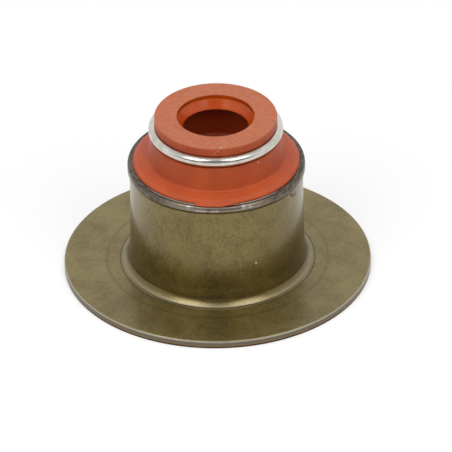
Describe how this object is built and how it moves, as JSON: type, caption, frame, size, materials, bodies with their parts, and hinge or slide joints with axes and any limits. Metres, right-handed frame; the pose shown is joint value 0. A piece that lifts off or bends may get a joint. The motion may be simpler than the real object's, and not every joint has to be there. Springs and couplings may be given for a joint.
{
  "type": "valve stem seal",
  "caption": "Top-hat valve stem seal: a steel casing with a flange as the valve spring's seat, a bonded rubber neck with a stem lip, and a wire tension ring round the neck.",
  "frame": {"origin": "middle of the flange's underside, on the seal's axis", "axes": "+Z along the axis from the flange to the lip; -Y towards the picture's camera; the ring's split faces +Y"},
  "size_m": [0.03, 0.03, 0.0171],
  "materials": {
    "zinc_steel": "olive-yellow chromated zinc, satin, worn grey on the rim and the bead",
    "orange_rubber": "orange-brown moulded fluoroelastomer, satin",
    "bright_wire": "bright drawn spring wire"
  },
  "bodies": {
    "root": {"steel_casing": "zinc_steel", "rubber_seal": "orange_rubber", "tension_ring": "bright_wire"}
  },
  "joints": []
}
